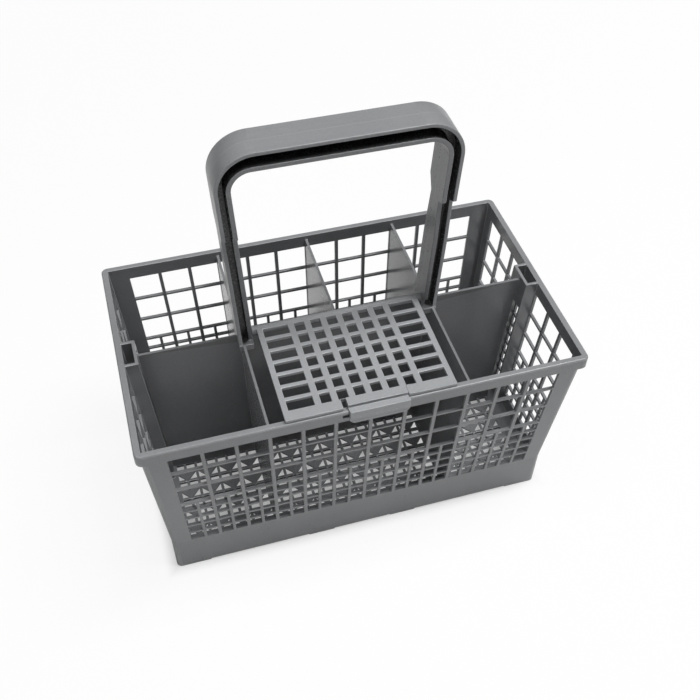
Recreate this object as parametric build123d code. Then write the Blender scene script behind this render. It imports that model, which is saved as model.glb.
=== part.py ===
from build123d import *
import os

# Dishwasher cutlery basket in millimetres: a moulded basket, a clip-on handle and a hinged lid.
# X runs along the basket, Y from front to back, Z up from the table.

# Basket: outside sizes
basket_height = 121.5
rim_length = 240.0
rim_width = 138.0
rim_depth = 7.2
rim_overhang = 2.2
rim_corner = 3.5
rim_edge = 0.7
base_length = 224.0
base_width = 120.4
band_height = 25.0
wall_corner = 3.2

# Basket: walls and floor
wall = 1.8
floor_lift = 13.5
floor_thickness = 2.0
foot_relief = 0.8
corner_foot = 20.0
middle_foot = 15.5
middle_feet_gap = 35.0

# Grilles: tall rows over short rows, with twice the bars in the short rows of the front wall.
# The two middle columns of a long wall are wider than the others by middle_extra.
column_count = 12
end_column_count = 3
tall_row_count = 3
short_row_count = 5
tall_row = 16.2
middle_extra = 1.45
head_strip = 0.7
sill = 0.6
corner_post = 12.6
corner_post_low = 11.0
end_post = 8.6
bar = 2.0
half_bar = 1.7
cross_bar = 1.4
floor_row_count = 8
floor_rib = 1.6
floor_border = 8.0

# Compartments
divider = 1.5
divider_drop = 2.6
divider_column_count = 3

# Socket and guide fins at each end
fin = 1.7
fin_spacing = 16.0
fin_depth = 7.2
fin_margin = 0.7
socket_wall = 1.7
socket_depth = 19.0
ladder_rung_count = 7
ladder_slot = 8.1
ladder_bar = 1.8

# Handle: an arch of two flanges joined by a web
handle_height = 120.5
grip_width = 19.4
grip_depth = 10.2
leg_width = 14.0
neck_width = 11.0
leg_depth = 8.0
leg_spread = 5.6
leg_inset = 1.4
outer_flange = 2.0
inner_flange = 2.4
web = 2.0
outer_bend = 20.0
inner_bend = 10.0
neck_height = 70.0
shoulder_height = 45.0
front_step = 2.0
rear_step = 8.0
foot_drop = 7.6
foot_block = 4.2
foot_width = 16.0
foot_notch_depth = 2.6
foot_notch_height = 5.9
seat_gap = 0.2

# Lid: a grid plate on a hinge barrel
lid_thickness = 2.0
lid_gap = 0.3
lid_setback = 1.2
lid_side_gap = 2.8
lid_side_frame = 3.0
lid_front_strip = 6.2
lid_row_count = 7
lid_square_count = 6
lid_pitch = 8.92
lid_bar = 3.4
lid_rail = 2.25
barrel_radius = 2.2
barrel_gap = 0.6
barrel_end_gap = 0.4
hinge_setback = 1.5
bore_gap = 0.1

# Latch on the lid's front edge
latch_width = 31.7
latch_offset = 3.0
latch_gap = 0.5
latch_drop = 7.0
latch_pad = 5.4
latch_pad_rise = 0.8
latch_neck = 0.8
lip_thickness = 2.2
lip_ridge = 0.5
lip_ridge_drop = 2.5
lip_corner = 2.0
latch_notch = 2.6
latch_groove = 0.6
catch_slot_height = 2.0
catch_slot_depth = 1.4
catch_slot_drop = 2.2
catch_slot_shift = 3.3

# Levels and places that follow from the sizes above
floor_top = floor_lift + floor_thickness
rim_low = basket_height - rim_depth
window_low = band_height + sill
window_top = rim_low - head_strip
tall_low = window_top - tall_row_count * tall_row
short_row = (tall_low - window_low) / short_row_count
divider_top = basket_height - divider_drop
socket_low = basket_height - socket_depth


# Solid of an XZ outline between two depths
def along_y(face, y_low, y_high):
    return extrude(Plane.XZ.offset(-y_high) * face, y_high - y_low)


# Solid of a YZ outline between two ends
def along_x(face, x_low, x_high):
    return extrude(Plane.YZ.offset(x_low) * face, x_high - x_low)


def outline(*points):
    return make_face(Polyline(*points, close=True))


# Half of the wall's outside length and width at a height: upright band below, spreading wall above
def half_length(z):
    spread = rim_length / 2 - rim_overhang - base_length / 2
    return base_length / 2 + spread * max(z - band_height, 0) / (rim_low - band_height)


def half_width(z):
    spread = rim_width / 2 - rim_overhang - base_width / 2
    return base_width / 2 + spread * max(z - band_height, 0) / (rim_low - band_height)


# Half of the long walls' grille at a height: the corner posts grow wider towards the rim
def grille_half(z):
    share = max(z - window_low, 0) / (window_top - window_low)
    return half_length(z) - corner_post_low - share * (corner_post - corner_post_low)


# The bars of a wall lean with its sloping ends, so a place on it is a share of the wall's half size
def fan_x(x, z):
    return x * grille_half(z) / grille_half(window_top)


def fan_y(y, z):
    return y * half_width(z) / half_width(window_top)


# Place of a bar on a long wall, counted from the left edge of the grille
def long_wall_bar(index, z):
    step = index - column_count / 2
    pitch = (grille_half(z) - middle_extra) / (column_count / 2)
    return step * pitch + middle_extra * max(-1, min(1, step))


# Place of a bar on the rear half of an end wall, counted from the guide fin
def end_wall_bar(index, z):
    fin_side = fin_spacing / 2 + fin / 2 + fin_margin
    return fin_side + index * (fan_y(end_window_half, z) - fin_side) / end_column_count


end_window_half = half_width(window_top) - end_post
divider_x = long_wall_bar(column_count / 2 + divider_column_count, window_top)


# Solid inside the four spreading walls, from the band up, moved in by inset
def spreading_part(inset, high):
    ends = [(half_length(z) - inset, z) for z in (band_height, high)]
    sides = [(half_width(z) - inset, z) for z in (band_height, high)]
    from_front = outline(*ends, *[(-x, z) for x, z in reversed(ends)])
    from_end = outline(*sides, *[(-y, z) for y, z in reversed(sides)])
    return along_y(from_front, -rim_width, rim_width) & along_x(from_end, -rim_length, rim_length)


# The same solid with the upright band below it, which continues its lowest section
def with_band(solid, low):
    section = solid.faces().sort_by(Axis.Z)[0]
    return solid + extrude(section, band_height - low)


def upright_edges(solid):
    return solid.edges().filter_by(lambda edge: abs(edge.tangent_at(0.5).Z) > 0.5)


# Openings of a grille whose bars stand at place(index, z), with its edges at the first and last index
def grille(place, count, halved):
    def upright(index, width, high):
        low_x = place(index, window_low)
        high_x = place(index, high)
        side = width / 2
        return outline(
            (low_x - side, window_low), (low_x + side, window_low),
            (high_x + side, high), (high_x - side, high),
        )

    def cross(z):
        return Pos(0, z) * Rectangle(2 * rim_length, cross_bar)

    openings = outline(
        (place(0, window_low), window_low), (place(count, window_low), window_low),
        (place(count, window_top), window_top), (place(0, window_top), window_top),
    )
    bars = [upright(index, bar, window_top) for index in range(1, count)]
    if halved:
        bars += [upright(index + 0.5, half_bar, tall_low) for index in range(count)]
    bars += [cross(window_top - tall_row * index) for index in range(1, tall_row_count + 1)]
    bars += [cross(tall_low - short_row * index) for index in range(1, short_row_count)]
    return openings - bars


def end_wall_openings():
    half = grille(end_wall_bar, end_column_count, False)
    return half + mirror(half, Plane.YZ)


# Slots one above the other in the end wall, behind the gap between the guide fins
def ladder_openings():
    slot_width = fin_spacing - fin - 2 * fin_margin
    rungs = [window_low + ladder_slot * index for index in range(1, ladder_rung_count + 1)]
    tall_slot = outline(
        (-slot_width / 2, window_low), (slot_width / 2, window_low),
        (slot_width / 2, socket_low), (-slot_width / 2, socket_low),
    )
    return tall_slot - [Pos(0, z) * Rectangle(2 * slot_width, ladder_bar) for z in rungs]


# Openings of the floor: ribs stand under the dividers and the partition
def floor_openings():
    half_x = grille_half(floor_top)
    half_y = base_width / 2 - wall - floor_border
    row = (2 * half_y + floor_rib) / floor_row_count
    ribs = [
        Pos(fan_x(x, floor_top), 0) * Rectangle(floor_rib, 2 * base_width)
        for x in (-divider_x, 0, divider_x)
    ]
    ribs += [
        Pos(0, row * (index - floor_row_count / 2)) * Rectangle(2 * base_length, floor_rib)
        for index in range(1, floor_row_count)
    ]
    return Rectangle(2 * half_x, 2 * half_y) - ribs


# Sloping edge, at both ends, where the partition and the guide fins stop
def fin_edge(z):
    return half_length(z) - wall - fin_depth


def partition_plate():
    heights = (floor_top, band_height, divider_top)
    edge = [(fin_edge(z), z) for z in heights]
    face = outline(*edge, *[(-x, z) for x, z in reversed(edge)])
    return along_y(face, -divider / 2, divider / 2)


# One cross divider from the partition to a long wall; side is 1 for the rear and -1 for the front
def divider_plate(x, side):
    heights = (floor_top, window_low, divider_top)
    middle = [(fan_x(x, z), z) for z in heights]
    face = outline(
        *[(x_mid + divider / 2, z) for x_mid, z in middle],
        *[(x_mid - divider / 2, z) for x_mid, z in reversed(middle)],
    )
    far = side * rim_width / 2
    plate = along_y(face, min(0, far), max(0, far))
    return plate & with_band(spreading_part(wall / 2, divider_top), floor_lift)


# Room in the dividers for the feet of the handle
def foot_room():
    room_width = foot_width + 2 * seat_gap
    room_depth = foot_drop + seat_gap - divider_drop
    rooms = Part()
    for side in (-1, 1):
        centre = (side * leg_centre, 0, divider_top - room_depth / 2)
        rooms += Pos(*centre) * Box(2 * leg_depth, room_width, room_depth)
    return rooms


# Two guide fins on an end wall with a cross wall that closes them to a socket at the rim
def end_socket():
    heights = (floor_top, band_height, basket_height)
    wall_side = [(half_length(z) - wall / 2, z) for z in heights]
    inner_side = [(fin_edge(z), z) for z in heights]
    fin_face = outline(*wall_side, *reversed(inner_side))
    cross_face = outline(
        (fin_edge(socket_low), socket_low), (fin_edge(socket_low) + socket_wall, socket_low),
        (fin_edge(basket_height) + socket_wall, basket_height), (fin_edge(basket_height), basket_height),
    )
    socket = along_y(cross_face, -fin_spacing / 2, fin_spacing / 2)
    for side in (-1, 1):
        middle = side * fin_spacing / 2
        socket += along_y(fin_face, middle - fin / 2, middle + fin / 2)
    return socket


# Shallow reliefs that leave feet under the long walls
def foot_reliefs():
    middle_end = middle_feet_gap / 2 + middle_foot
    corner_end = base_length / 2 - corner_foot
    spans = [(-corner_end, -middle_end), (-middle_feet_gap / 2, middle_feet_gap / 2), (middle_end, corner_end)]
    reliefs = Part()
    for left, right in spans:
        reliefs += Pos((left + right) / 2, 0, 0) * Box(right - left, rim_width, 2 * foot_relief)
    return reliefs


# Slot in the rim's front band, mostly behind the latch lip
def catch_slot():
    low = basket_height - catch_slot_drop - catch_slot_height
    front = -rim_width / 2
    centre = (latch_offset - catch_slot_shift, front, low + catch_slot_height / 2)
    return Pos(*centre) * Box(latch_width, 2 * catch_slot_depth, catch_slot_height)


def basket_body():
    walls = spreading_part(0, rim_low)
    shell = with_band(fillet(upright_edges(walls), wall_corner), 0)
    rim = Pos(0, 0, rim_low) * extrude(RectangleRounded(rim_length, rim_width, rim_corner), rim_depth)
    rim = chamfer(rim.faces().sort_by(Axis.Z)[-1].edges(), rim_edge)
    cavity = with_band(spreading_part(wall, basket_height), floor_top)
    underside = extrude(Rectangle(base_length - 2 * wall, base_width - 2 * wall), floor_lift)
    body = shell + rim - cavity - underside
    body -= along_y(grille(long_wall_bar, column_count, True), -rim_width, 0)
    body -= along_y(grille(long_wall_bar, column_count, False), 0, rim_width)
    body -= along_x(end_wall_openings() + ladder_openings(), -rim_length, rim_length)
    body -= extrude(floor_openings(), 2 * floor_top)
    dividers = Part()
    for x, side in ((-divider_x, -1), (divider_x, -1), (-divider_x, 1), (0, 1), (divider_x, 1)):
        dividers += divider_plate(x, side)
    socket = end_socket()
    body += dividers - foot_room()
    body += partition_plate()
    body += socket
    body += mirror(socket, Plane.YZ)
    return body - foot_reliefs() - catch_slot()


# Places that the handle and the lid share with the basket
leg_centre = fan_x(divider_x, divider_top) - leg_inset
leg_lean = leg_spread / handle_height
handle_top = basket_height + handle_height
foot_low = basket_height - foot_drop
hinge_y = -hinge_setback
hinge_z = divider_top + barrel_gap + barrel_radius


# Outer edge of the handle's right leg at a height
def leg_outside(z):
    return leg_centre + leg_depth / 2 + leg_lean * (z - basket_height)


# Closed XZ outline of the arch, moved in by side on the legs and by crown on the grip
def arch(side, crown, bend):
    top = handle_top - crown
    low = foot_low - grip_depth
    face = outline(
        (side - leg_outside(low), low), (leg_outside(low) - side, low),
        (leg_outside(top) - side, top), (side - leg_outside(top), top),
    )
    return fillet(face.vertices().group_by(Axis.Y)[-1], bend)


# Corner cut from the front of each inner flange, above the foot
def foot_notches():
    notch_rear = foot_notch_depth - leg_width / 2
    notch_low = foot_low + foot_block
    middle = leg_outside(notch_low) - leg_depth + inner_flange / 2
    notches = Part()
    for side in (-1, 1):
        centre = (side * middle, notch_rear - foot_width / 2, notch_low + foot_notch_height / 2)
        notches += Pos(*centre) * Box(2 * inner_flange, foot_width, foot_notch_height)
    return notches


# YZ outline of the handle: wide at the grip, stepped in at the neck, wider again at the legs
def handle_side():
    neck = basket_height + neck_height
    shoulder = basket_height + shoulder_height
    above = handle_top + outer_flange
    return outline(
        (-leg_width / 2, foot_low), (leg_width / 2, foot_low), (leg_width / 2, shoulder),
        (neck_width / 2, neck), (grip_width / 2, neck + rear_step), (grip_width / 2, above),
        (-grip_width / 2, above), (-grip_width / 2, neck + front_step), (-neck_width / 2, neck),
        (-leg_width / 2, shoulder),
    )


def handle():
    outside = arch(0, 0, outer_bend)
    inside = arch(leg_depth, grip_depth, inner_bend)
    outer_inset = arch(outer_flange, outer_flange, outer_bend - outer_flange)
    inner_inset = arch(leg_depth - inner_flange, grip_depth - inner_flange, inner_bend + inner_flange)
    flanges = (outside - outer_inset) + (inner_inset - inside)
    ribbon = outside - inside
    foot_zone = Pos(0, foot_low + foot_block / 2) * Rectangle(rim_length, foot_block)
    frame = along_y(flanges, -grip_width / 2, grip_width / 2) + along_y(ribbon, -web / 2, web / 2)
    frame = frame & along_x(handle_side(), -rim_length, rim_length)
    frame += along_y(ribbon & foot_zone, -foot_width / 2, foot_width / 2)
    slot_top = divider_top + seat_gap
    slot_low = foot_low - grip_depth
    slot_width = divider + 2 * seat_gap
    frame -= Pos(0, 0, (slot_top + slot_low) / 2) * Box(rim_length, slot_width, slot_top - slot_low)
    bore = Plane.YZ * Pos(hinge_y, hinge_z) * Circle(barrel_radius + bore_gap)
    bore_end = leg_outside(hinge_z) - leg_depth + inner_flange + barrel_end_gap
    return frame - extrude(bore, bore_end, both=True) - foot_notches()


# Openings of the lid's grid: squares in the middle and a wide slot at each side
def lid_openings(half, rear, front):
    row = (rear - front + lid_rail) / lid_row_count
    grid = Pos(0, (rear + front) / 2) * Rectangle(2 * half, rear - front)
    bars = [
        Pos(lid_pitch * (index - lid_square_count / 2), front) * Rectangle(lid_bar, 4 * rim_width)
        for index in range(lid_square_count + 1)
    ]
    bars += [
        Pos(0, rear - row * index + lid_rail / 2) * Rectangle(4 * half, lid_rail)
        for index in range(1, lid_row_count)
    ]
    return grid - bars


# Latch: raised pad, thin neck over the rim and a lip down the rim's front
def latch(lid_low, lid_top, pad_rear, pad_front):
    lip_back = -rim_width / 2 - latch_gap
    lip_front = lip_back - lip_thickness
    lip_low = basket_height - latch_drop
    ridge = basket_height - lip_ridge_drop
    neck_top = lid_low + latch_neck
    side_view = outline(
        (pad_rear, lid_low), (pad_rear, lid_top + latch_pad_rise), (pad_front, lid_top + latch_pad_rise),
        (pad_front, neck_top), (lip_back, neck_top), (lip_back, lid_top), (lip_front, lid_top),
        (lip_front, ridge), (lip_front + lip_ridge, ridge - lip_ridge), (lip_front + lip_ridge, lip_low),
        (lip_back, lip_low), (lip_back, lid_low),
    )
    solid = along_x(side_view, latch_offset - latch_width / 2, latch_offset + latch_width / 2)
    return chamfer(solid.edges().filter_by(Axis.Y).group_by(Axis.Z)[0], lip_corner)


def lid():
    leg_inside = leg_outside(hinge_z) - leg_depth
    half = leg_inside - lid_side_gap
    lid_low = basket_height + lid_gap
    lid_top = lid_low + lid_thickness
    front = lid_setback - rim_width / 2
    grid_rear = hinge_y - barrel_radius - lid_gap
    grid_front = front + lid_front_strip
    pad_front = front + latch_groove
    pad_rear = pad_front + latch_pad
    plate_face = Pos(0, (hinge_y + front) / 2) * Rectangle(2 * half, hinge_y - front)
    notch_width = latch_width + 2 * latch_notch
    plate_face -= Pos(latch_offset, front) * Rectangle(notch_width, 2 * (latch_groove + latch_pad))
    plate_face -= lid_openings(half - lid_side_frame, grid_rear, grid_front)
    plate = Pos(0, 0, lid_low) * extrude(plate_face, lid_thickness)
    barrel_end = leg_inside + inner_flange - barrel_end_gap
    barrel = extrude(Plane.YZ * Pos(hinge_y, hinge_z) * Circle(barrel_radius), barrel_end, both=True)
    return plate + barrel + latch(lid_low, lid_top, pad_rear, pad_front)


os.makedirs("parts", exist_ok=True)
export_step(basket_body(), "parts/basket_body.step")
export_step(handle(), "parts/handle.step")
export_step(lid(), "parts/lid.step")
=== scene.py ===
import math

import bmesh
import bpy
from mathutils import Matrix, Vector
from mathutils.bvhtree import BVHTree


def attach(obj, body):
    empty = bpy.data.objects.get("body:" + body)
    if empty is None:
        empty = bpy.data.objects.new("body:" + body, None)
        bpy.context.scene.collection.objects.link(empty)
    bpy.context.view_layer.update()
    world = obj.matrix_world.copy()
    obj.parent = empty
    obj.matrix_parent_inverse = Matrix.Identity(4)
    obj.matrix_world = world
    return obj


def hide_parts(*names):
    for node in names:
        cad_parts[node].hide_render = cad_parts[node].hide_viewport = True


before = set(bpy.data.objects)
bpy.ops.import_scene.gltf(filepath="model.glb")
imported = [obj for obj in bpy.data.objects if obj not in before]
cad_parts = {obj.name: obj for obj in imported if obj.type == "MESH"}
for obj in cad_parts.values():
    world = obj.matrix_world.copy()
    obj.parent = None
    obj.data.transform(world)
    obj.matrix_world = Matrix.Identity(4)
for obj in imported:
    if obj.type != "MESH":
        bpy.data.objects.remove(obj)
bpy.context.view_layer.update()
print("frame loaded:", sorted(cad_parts))

mm = 0.001
scene = bpy.context.scene
scene.view_settings.view_transform = "Standard"


# a shader value: sums on it add Math nodes
class Wire:
    def __init__(self, finish, socket):
        self.finish = finish
        self.socket = socket

    def calc(self, operation, first, second):
        return self.finish.node("ShaderNodeMath", {"operation": operation}, {0: first, 1: second})

    def __add__(self, other):
        return self.calc("ADD", self, other)

    def __radd__(self, other):
        return self.calc("ADD", other, self)

    def __sub__(self, other):
        return self.calc("SUBTRACT", self, other)

    def __rsub__(self, other):
        return self.calc("SUBTRACT", other, self)

    def __mul__(self, other):
        return self.calc("MULTIPLY", self, other)

    def __rmul__(self, other):
        return self.calc("MULTIPLY", other, self)


# the nodes of one material, or of the world
class Finish:
    def __init__(self, owner):
        self.owner = owner
        owner.use_nodes = True
        self.tree = owner.node_tree
        self.tree.nodes.clear()

    # type, settings first, then values or links of the sockets; gives back one output
    def node(self, kind, settings=None, sockets=None, output=0):
        made = self.tree.nodes.new(kind)
        for name, value in (settings or {}).items():
            setattr(made, name, value)
        for name, value in (sockets or {}).items():
            if isinstance(value, Wire):
                self.tree.links.new(value.socket, made.inputs[name])
            else:
                made.inputs[name].default_value = value
        return Wire(self, made.outputs[output]) if made.outputs else None


def noise(finish, place, scale, detail, roughness):
    return finish.node("ShaderNodeTexNoise", {}, {
        "Vector": place, "Scale": scale, "Detail": detail, "Roughness": roughness})


def smoothRamp(finish, value, start, end, low, high):
    return finish.node("ShaderNodeMapRange", {"interpolation_type": "SMOOTHSTEP"}, {
        0: value, 1: start, 2: end, 3: low, 4: high})


def axisOf(finish, vector, axis):
    return finish.node("ShaderNodeSeparateXYZ", {}, {0: vector}, axis)


# moulded plastic: a slow drift of tone, faint flow streaks, fine spark-eroded grain, edges paler from
# rubbing and a painted highlight, painted shade on the inside faces
plasticLook = {
    "tone": (0.252, 0.258, 0.266),
    "drift": 0.16,          # share of the tone that the slow drift moves
    "driftScale": 26.0,
    "streak": 0.10,
    "streakScale": (60.0, 60.0, 8.0),
    "speck": 0.20,
    "speckScale": 900.0,
    "grainScale": 2600.0,
    "grainHeight": 0.00005,
    "bump": 0.4,
    "edge": 0.18,           # how much paler the rounded edges are: rubbed wear and a painted highlight
    "paintedShade": 0.16,           # how much darker painted shade makes the faces inside the basket and the handle
    "roughness": 0.32,
    "roughSpeck": 0.18,
    "roughStreak": 0.10,
    "edgePolish": 0.06,
    "corePolish": 0.09,
    "ior": 1.49,
}
# the handle: strong painted shade in its channel, a painted highlight along its seam
handleLook = {
    **plasticLook, "streakScale": (9.0, 260.0, 9.0), "paintedShade": 0.95,
    "seamWidth": 0.00022, "seamHighlight": 0.10, "seamHeight": 0.00006,
}
# the lid: its tone, set paler than the basket's, carries a painted sheen of the light on it; its edges paler
# with rubbed wear and a painted highlight; its lip groove darkened with painted shade
lidLook = {
    **plasticLook, "tone": (0.338, 0.347, 0.358), "streakScale": (70.0, 14.0, 70.0), "edge": 0.30,
    "lipLine": 0.1167, "lipFace": -0.0705, "grooveHalf": 0.00015, "grooveFade": 0.00040,
    "grooveShade": 0.22, "grooveDepth": 0.00020,
}


def plasticFinish(name, look):
    finish = Finish(bpy.data.materials.new(name))
    place = finish.node("ShaderNodeTexCoord", {}, {}, "Object")
    stretched = finish.node("ShaderNodeVectorMath", {"operation": "MULTIPLY"}, {
        0: place, 1: look["streakScale"]})
    drift = noise(finish, place, look["driftScale"], 3.0, 0.55) - 0.5
    streak = noise(finish, stretched, 1.0, 4.0, 0.6) - 0.5
    speck = noise(finish, place, look["speckScale"], 2.0, 0.6) - 0.5
    grain = noise(finish, place, look["grainScale"], 2.0, 0.5)
    edge = finish.node("ShaderNodeAttribute", {"attribute_name": "edgeWearAndHighlight"}, {}, "Fac")
    # painted shade: inside faces darkened by their share of it, which also lowers their roughness
    paintedShade = finish.node("ShaderNodeAttribute", {"attribute_name": "paintedShadeShare"}, {}, "Fac")
    shade = drift * look["drift"] + streak * look["streak"] + speck * look["speck"]
    shade = shade + edge * look["edge"] - paintedShade * look["paintedShade"]
    height = grain * look["grainHeight"]
    if "seamWidth" in look:  # mould seam along the middle of the handle's outside, paler as a painted highlight
        offset = finish.node("ShaderNodeMath", {"operation": "ABSOLUTE"}, {0: axisOf(finish, place, 1)})
        seam = smoothRamp(finish, offset, look["seamWidth"], 2 * look["seamWidth"], 1.0, 0.0)
        shade = shade + seam * look["seamHighlight"]
        height = height + seam * look["seamHeight"]
    if "lipLine" in look:  # fine groove across the front of the latch lip, darkened with painted shade
        above = axisOf(finish, place, 2) - look["lipLine"]
        offset = finish.node("ShaderNodeMath", {"operation": "ABSOLUTE"}, {0: above})
        groove = smoothRamp(finish, offset, look["grooveHalf"], look["grooveFade"], 1.0, 0.0)
        onLip = finish.node("ShaderNodeMath", {"operation": "LESS_THAN"}, {
            0: axisOf(finish, place, 1), 1: look["lipFace"]})
        shade = shade - groove * onLip * look["grooveShade"]
        height = height - groove * onLip * look["grooveDepth"]
    pale = [value * 2 for value in look["tone"]]  # halfway to it is the plain tone
    colour = finish.node("ShaderNodeMix", {"data_type": "RGBA"}, {
        0: shade * 0.5 + 0.5, 6: (0.0, 0.0, 0.0, 1.0), 7: (*pale, 1.0)}, 2)
    rough = speck * look["roughSpeck"] + streak * look["roughStreak"] + look["roughness"]
    rough = rough - edge * look["edgePolish"] - paintedShade * look["corePolish"]
    bump = finish.node("ShaderNodeBump", {}, {"Strength": look["bump"], "Distance": 1.0, "Height": height})
    surface = finish.node("ShaderNodeBsdfPrincipled", {}, {
        "Base Color": colour, "Roughness": rough, "Normal": bump, "IOR": look["ior"]})
    finish.node("ShaderNodeOutputMaterial", {}, {"Surface": surface})
    return finish.owner


basketPlastic = plasticFinish("basketPlastic", plasticLook)
handlePlastic = plasticFinish("handlePlastic", handleLook)
lidPlastic = plasticFinish("lidPlastic", lidLook)
print("finishes made")


# an object from a finished mesh, in one material
def placePiece(work, name, material):
    mesh = bpy.data.meshes.new(name)
    work.to_mesh(mesh)
    work.free()
    mesh.materials.append(material)
    piece = bpy.data.objects.new(name, mesh)
    scene.collection.objects.link(piece)
    return piece


# outside of the spreading walls at a height
wallSizes = {
    "bandTop": 25.0, "rimLow": 114.3, "windowLow": 25.6, "windowTop": 113.6,
    "halfLength": 112.0, "lengthSpread": 5.8, "halfWidth": 60.2, "widthSpread": 6.6,
    "postLow": 11.0, "postHigh": 12.6, "middleExtra": 1.45,
}


def wallShare(z):
    return max(z - wallSizes["bandTop"], 0) / (wallSizes["rimLow"] - wallSizes["bandTop"])


def halfLength(z):
    return wallSizes["halfLength"] + wallSizes["lengthSpread"] * wallShare(z)


def halfWidth(z):
    return wallSizes["halfWidth"] + wallSizes["widthSpread"] * wallShare(z)


def grilleHalf(z):
    share = max(z - wallSizes["windowLow"], 0) / (wallSizes["windowTop"] - wallSizes["windowLow"])
    return halfLength(z) - wallSizes["postLow"] - share * (wallSizes["postHigh"] - wallSizes["postLow"])


# how much painted shade each face takes: the smooth faces inside the basket and the handle, darkened where
# shade falls
paintedShadeSizes = {
    "wallSkin": 1.2, "rimSkin": 120.6,
    "coverHalf": 50.4, "underLidShade": 2.2,            # the compartment under the lid, its painted shade stronger for the lid's shadow
    "looks": 28, "turn": 2.39996, "reach": 16.0, "lift": 0.02,
    "flangeHalf": 44.2, "flangeLean": 0.0465, "flangeTop": 234.1, "flangePaintedShade": 0.18,
}


# painted shade on the inside of the basket's walls, below the rim, stronger under the lid
def basketPaintedShade(face, tree):
    place = face.calc_center_median() / mm
    clear = paintedShadeSizes["wallSkin"]
    within = abs(place.x) < halfLength(place.z) - clear and abs(place.y) < halfWidth(place.z) - clear
    covered = abs(place.x) < paintedShadeSizes["coverHalf"] and place.y < 0
    return float(within and place.z < paintedShadeSizes["rimSkin"]) * (paintedShadeSizes["underLidShade"] if covered else 1.0)


# share of short looks from a face that end on the same moulding, as in the handle's channel
def recess(face, tree):
    normal = face.normal
    side = normal.orthogonal().normalized()
    other = normal.cross(side)
    spot = face.calc_center_median() + normal * paintedShadeSizes["lift"] * mm
    blocked = 0
    for index in range(paintedShadeSizes["looks"]):
        turn = index * paintedShadeSizes["turn"]
        lean = math.sqrt((index + 0.5) / paintedShadeSizes["looks"])
        ray = (side * math.cos(turn) + other * math.sin(turn)) * lean + normal * math.sqrt(1 - lean * lean)
        blocked += tree.ray_cast(spot, ray, paintedShadeSizes["reach"] * mm)[0] is not None
    return blocked / paintedShadeSizes["looks"]


# painted shade: the handle's inner flange is a little darker all round, its channel much darker
def handlePaintedShade(face, tree):
    place = face.calc_center_median() / mm
    inner = abs(place.x) < paintedShadeSizes["flangeHalf"] + paintedShadeSizes["flangeLean"] * place.z
    inner = inner and place.z < paintedShadeSizes["flangeTop"]
    return max(recess(face, tree), paintedShadeSizes["flangePaintedShade"] if inner else 0.0)


# the lid takes no painted shade
def noPaintedShade(face, tree):
    return 0.0


# mouldings with their edges rounded: the solids' own meshes, copied and bevelled
mouldings = {
    "basket_shell": {"node": "basket_body", "body": "basket", "slot": "basket_plastic",
                     "material": basketPlastic, "rounding": 0.25, "paintedShade": basketPaintedShade},
    "carry_handle": {"node": "handle", "body": "basket", "slot": "handle_plastic",
                     "material": handlePlastic, "rounding": 0.35, "paintedShade": handlePaintedShade},
    "grid_lid": {"node": "lid", "body": "lid", "slot": "lid_plastic",
                 "material": lidPlastic, "rounding": 0.25, "paintedShade": noPaintedShade},
}
sharpEdge = math.radians(28)
flatJoin = math.radians(0.6)
sameSpot = 1e-6
curveStrip = 2.5 * mm  # widest face of a curve


def roundedMoulding(name, making):
    work = bmesh.new()
    work.from_mesh(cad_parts[making["node"]].data)
    bmesh.ops.remove_doubles(work, verts=work.verts, dist=sameSpot)
    bmesh.ops.dissolve_limit(work, angle_limit=flatJoin, verts=work.verts, edges=work.edges)
    bmesh.ops.connect_verts_concave(work, faces=work.faces)
    wearAndHighlight = work.faces.layers.float.new("edgeWearAndHighlight")
    for face in work.faces:  # the narrow faces of curves stay smooth, flat ones flat
        narrow = face.calc_area() < curveStrip * max(edge.calc_length() for edge in face.edges)
        face.smooth = narrow and any(flatJoin < edge.calc_face_angle(0) < sharpEdge for edge in face.edges)
    edges = [edge for edge in work.edges if edge.is_manifold and edge.calc_face_angle(0) > sharpEdge]
    made = bmesh.ops.bevel(work, geom=edges, offset=making["rounding"] * mm, offset_type="OFFSET",
                           segments=2, profile=0.5, affect="EDGES", clamp_overlap=False, loop_slide=False)
    # the rounded edges are paler: rubbed wear and a painted highlight
    for face in made["faces"]:
        face[wearAndHighlight] = 1.0
        face.smooth = True
    # each face's share of painted shade, which also lowers its roughness
    paintedShade = work.faces.layers.float.new("paintedShadeShare")
    work.normal_update()
    tree = BVHTree.FromBMesh(work)
    for face in work.faces:
        face[paintedShade] = making["paintedShade"](face, tree)
    piece = placePiece(work, name, making["material"])
    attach(piece, making["body"])
    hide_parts(making["node"])
    print(name, "rounded:", len(piece.data.polygons), "faces")


for pieceName, making in mouldings.items():
    roundedMoulding(pieceName, making)


def meshPiece(name, build, material):
    work = bmesh.new()
    build(work)
    bmesh.ops.recalc_face_normals(work, faces=work.faces)
    return placePiece(work, name, material)


# a bar with rounded edges between two four-cornered ends
def addBar(work, lowEnd, highEnd, rounding):
    corners = [work.verts.new(Vector(point) * mm) for point in (*lowEnd, *highEnd)]
    rings = [(0, 1, 2, 3), (4, 5, 6, 7)]
    rings += [(index, (index + 1) % 4, 4 + (index + 1) % 4, 4 + index) for index in range(4)]
    faces = [work.faces.new([corners[index] for index in ring]) for ring in rings]
    edges = list({edge for face in faces[2:] for edge in face.edges if edge not in faces[0].edges
                  and edge not in faces[1].edges})
    bmesh.ops.bevel(work, geom=edges, offset=rounding * mm, segments=2, profile=0.5, affect="EDGES")


# in-between bars in the short rows of the rear and end walls
halfBarSizes = {
    "low": 25.3, "high": 65.3, "width": 1.7, "thickness": 1.66, "skin": 0.07, "rounding": 0.3,
    "columns": 12, "endColumns": 3, "endInside": 9.55, "endOutside": 58.15,
}


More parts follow.
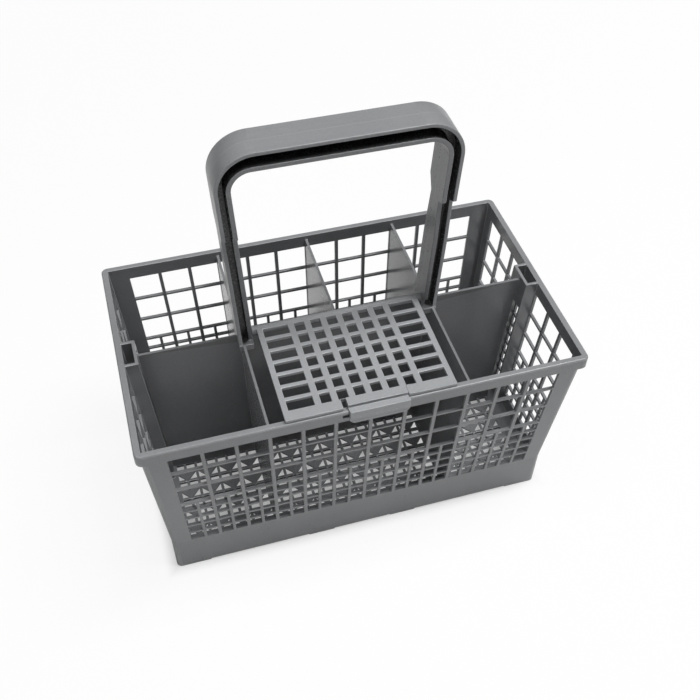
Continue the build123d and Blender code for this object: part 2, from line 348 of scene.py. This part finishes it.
def halfBars(work):
    size = halfBarSizes
    side = size["width"] / 2

    def rearEnd(step, z):
        pitch = (grilleHalf(z) - wallSizes["middleExtra"]) / (size["columns"] / 2)
        middle = step * pitch + wallSizes["middleExtra"] * max(-1, min(1, step))
        outside = halfWidth(z) - size["skin"]
        inside = outside - size["thickness"]
        return ((middle - side, inside, z), (middle + side, inside, z),
                (middle + side, outside, z), (middle - side, outside, z))

    def sideEnd(share, z, xSide, ySide):
        far = size["endOutside"] * halfWidth(z) / halfWidth(wallSizes["windowTop"])
        middle = ySide * (size["endInside"] + share * (far - size["endInside"]))
        outside = xSide * (halfLength(z) - size["skin"])
        inside = outside - xSide * size["thickness"]
        return ((inside, middle - side, z), (outside, middle - side, z),
                (outside, middle + side, z), (inside, middle + side, z))

    for index in range(size["columns"]):
        step = index + 0.5 - size["columns"] / 2
        addBar(work, rearEnd(step, size["low"]), rearEnd(step, size["high"]), size["rounding"])
    for xSide in (-1, 1):
        for ySide in (-1, 1):
            for index in range(size["endColumns"]):
                share = (index + 0.5) / size["endColumns"]
                lowEnd = sideEnd(share, size["low"], xSide, ySide)
                highEnd = sideEnd(share, size["high"], xSide, ySide)
                addBar(work, lowEnd, highEnd, size["rounding"])


wallBars = meshPiece("wall_half_bars", halfBars, basketPlastic)
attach(wallBars, "basket")
print("half bars made:", len(wallBars.data.polygons))


# plate that fills the lid's notch on the latch's right, but for a fine joint
latchPlateSizes = {
    "left": 19.2, "right": 21.7, "rear": -61.6, "front": -67.75, "low": 121.85, "high": 123.75,
    "rounding": 0.25,
}


def latchPlate(work):
    size = latchPlateSizes
    frontEnd, rearEnd = [((size["left"], y, size["low"]), (size["right"], y, size["low"]),
                          (size["right"], y, size["high"]), (size["left"], y, size["high"]))
                         for y in (size["front"], size["rear"])]
    addBar(work, frontEnd, rearEnd, size["rounding"])


platePiece = meshPiece("latch_plate", latchPlate, lidPlastic)
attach(platePiece, "lid")
print("latch plate made")


# fine floor between the main ribs: rows of open squares, and rows that gussets leave as paired triangles
floorSizes = {
    "pitch": 6.4, "columns": 16, "rows": 8, "rib": 1.6, "low": 14.3, "high": 15.42, "overlap": 0.5,
    "rounding": 0.25, "gussetDrop": 0.1, "gussetBite": 0.2,
}


def floorGrid(work):
    size = floorSizes
    pitch = size["pitch"]
    side = size["rib"] / 2
    reachX = size["columns"] * pitch - side + size["overlap"]
    reachY = size["rows"] * pitch - side + size["overlap"]

    def rib(start, end):
        along = (Vector(end) - Vector(start)).normalized()
        across = Vector((-along.y, along.x)) * size["rib"] / 2
        ends = []
        for point in (Vector(start), Vector(end)):
            left, right = point + across, point - across
            ends.append(((left.x, left.y, size["low"]), (right.x, right.y, size["low"]),
                         (right.x, right.y, size["high"]), (left.x, left.y, size["high"])))
        addBar(work, ends[0], ends[1], size["rounding"])

    # wide at the partition's side of its row, as narrow as the rib at the other
    def gusset(x, wide, narrow):
        reach = pitch - side
        outline = ((x - reach, wide), (x - side, narrow), (x + side, narrow), (x + reach, wide))
        high = size["high"] - size["gussetDrop"]
        low = [work.verts.new(Vector((px, py, size["low"])) * mm) for px, py in outline]
        top = [work.verts.new(Vector((px, py, high)) * mm) for px, py in outline]
        work.faces.new(low)
        work.faces.new(top)
        for index in range(4):
            after = (index + 1) % 4
            work.faces.new((low[index], low[after], top[after], top[index]))

    for column in range(1 - size["columns"], size["columns"]):
        rib((column * pitch, -reachY), (column * pitch, reachY))
    for row in range(1 - size["rows"], size["rows"]):
        rib((-reachX, row * pitch), (reachX, row * pitch))
    for half in (-1, 1):
        for row in range(1, size["rows"], 2):
            wide = half * (row * pitch + side - size["gussetBite"])
            narrow = half * ((row + 1) * pitch - side + size["gussetBite"])
            for column in range(1 - size["columns"], size["columns"], 2):
                gusset(column * pitch, wide, narrow)


floorPiece = meshPiece("floor_grid", floorGrid, basketPlastic)
# the whole floor takes full painted shade
floorPaintedShade = floorPiece.data.attributes.new("paintedShadeShare", "FLOAT", "FACE")
floorPaintedShade.data.foreach_set("value", [1.0] * len(floorPiece.data.polygons))
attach(floorPiece, "basket")
print("floor grid made:", len(floorPiece.data.polygons))


# camera at the photo's viewing angle
cameraView = {
    "azimuth": -17.411, "elevation": 47.957, "roll": 1.309, "distance": 500.9,
    "target": (-0.63, -28.85, 121.3), "focal": 946.5, "frameWidth": 700.0, "sensor": 36.0, "clipStart": 10.0,
}


def setCamera(view):
    azimuth, elevation, roll = (math.radians(view[name]) for name in ("azimuth", "elevation", "roll"))
    back = Vector((math.sin(azimuth) * math.cos(elevation), -math.cos(azimuth) * math.cos(elevation),
                   math.sin(elevation)))
    right = Vector((0, 0, 1)).cross(back).normalized()
    up = back.cross(right)
    tiltedRight = math.cos(roll) * right + math.sin(roll) * up
    tiltedUp = math.cos(roll) * up - math.sin(roll) * right
    spot = (Vector(view["target"]) + back * view["distance"]) * mm
    lens = bpy.data.cameras.new("camera")
    lens.sensor_fit = "HORIZONTAL"
    lens.sensor_width = view["sensor"]
    lens.lens = view["focal"] / view["frameWidth"] * view["sensor"]
    lens.clip_start = view["clipStart"] * mm
    camera = bpy.data.objects.new("camera", lens)
    scene.collection.objects.link(camera)
    axes = Matrix((tiltedRight, tiltedUp, back)).transposed().to_4x4()
    camera.matrix_world = Matrix.Translation(spot) @ axes
    scene.camera = camera


setCamera(cameraView)
print("camera set")


# white table and surroundings
stageLook = {
    "floorSize": 8.0, "floorDrop": 0.0001, "floorTone": 0.90, "floorGlow": 0.88,
    "shadeHalf": (0.108, 0.056), "shadeReach": 0.012, "shadeGlow": 0.30,    # table in the basket's own shade
    "fadeStart": 0.35, "fadeEnd": 1.2,                                      # far table, as white as the sky
    "skyStrength": 0.03, "horizonStrength": 0.02, "horizon": 0.0, "zenith": 0.85,
}
white = (1.0, 1.0, 1.0, 1.0)


def tableFinish(look):
    finish = Finish(bpy.data.materials.new("tableWhite"))
    tone = look["floorTone"]
    lit = finish.node("ShaderNodeBsdfDiffuse", {}, {"Color": (tone, tone, tone, 1.0)})
    glow = finish.node("ShaderNodeEmission", {}, {"Color": white, "Strength": 1.0})
    place = finish.node("ShaderNodeTexCoord", {}, {}, "Object")
    apart = finish.node("ShaderNodeVectorMath", {"operation": "ABSOLUTE"}, {0: place})
    apart = finish.node("ShaderNodeVectorMath", {"operation": "SUBTRACT"}, {
        0: apart, 1: (*look["shadeHalf"], 0.0)})
    alongX = axisOf(finish, apart, 0)
    outside = alongX.calc("MAXIMUM", alongX, axisOf(finish, apart, 1))
    clear = smoothRamp(finish, outside, 0.0, look["shadeReach"], look["shadeGlow"], look["floorGlow"])
    away = finish.node("ShaderNodeVectorMath", {"operation": "LENGTH"}, {0: place}, "Value")
    fade = smoothRamp(finish, away, look["fadeStart"], look["fadeEnd"], 0.0, 1.0)
    seen = finish.node("ShaderNodeLightPath", {}, {}, "Is Camera Ray")
    share = clear + (1.0 - clear) * fade
    mixed = finish.node("ShaderNodeMixShader", {}, {0: seen * share, 1: lit, 2: glow})
    finish.node("ShaderNodeOutputMaterial", {}, {"Surface": mixed})
    return finish.owner


def makeTable(look):
    work = bmesh.new()
    bmesh.ops.create_grid(work, x_segments=1, y_segments=1, size=look["floorSize"] / 2)
    table = placePiece(work, "table_top", tableFinish(look))
    table.location.z = -look["floorDrop"]


# faint light all round, plain white to the camera
def makeSky(look):
    scene.world = bpy.data.worlds.new("whiteTent")
    tent = Finish(scene.world)
    direction = tent.node("ShaderNodeTexCoord", {}, {}, "Generated")
    height = smoothRamp(tent, axisOf(tent, direction, 2), look["horizon"], look["zenith"], 0.0, 1.0)
    lowSky = tent.node("ShaderNodeBackground", {}, {"Color": white, "Strength": look["horizonStrength"]})
    highSky = tent.node("ShaderNodeBackground", {}, {"Color": white, "Strength": look["skyStrength"]})
    seenSky = tent.node("ShaderNodeBackground", {}, {"Color": white, "Strength": 1.0})
    lightSky = tent.node("ShaderNodeMixShader", {}, {0: height, 1: lowSky, 2: highSky})
    cameraRay = tent.node("ShaderNodeLightPath", {}, {}, "Is Camera Ray")
    shown = tent.node("ShaderNodeMixShader", {}, {0: cameraRay, 1: lightSky, 2: seenSky})
    tent.node("ShaderNodeOutputWorld", {}, {"Surface": shown})


makeTable(stageLook)
makeSky(stageLook)
print("table and sky made")


# soft boxes of the tent
softBoxes = {
    "right": {"spot": (0.70, -0.10, 2.00), "size": 0.9, "power": 37.0},
    "left": {"spot": (-0.70, -0.10, 2.00), "size": 0.9, "power": 9.5},
    "front": {"spot": (0.00, -0.70, 2.00), "size": 0.5, "power": 3.0},
}
boxAim = (0.0, 0.0, 0.10)


def addSoftBox(name, box):
    light = bpy.data.lights.new(name, "AREA")
    light.shape = "SQUARE"
    light.size = box["size"]
    light.energy = box["power"]
    lamp = bpy.data.objects.new(name, light)
    scene.collection.objects.link(lamp)
    direction = Vector(boxAim) - Vector(box["spot"])
    lamp.location = box["spot"]
    lamp.rotation_euler = direction.to_track_quat("-Z", "Y").to_euler()


for boxName, box in softBoxes.items():
    addSoftBox(boxName, box)
print("lights set")
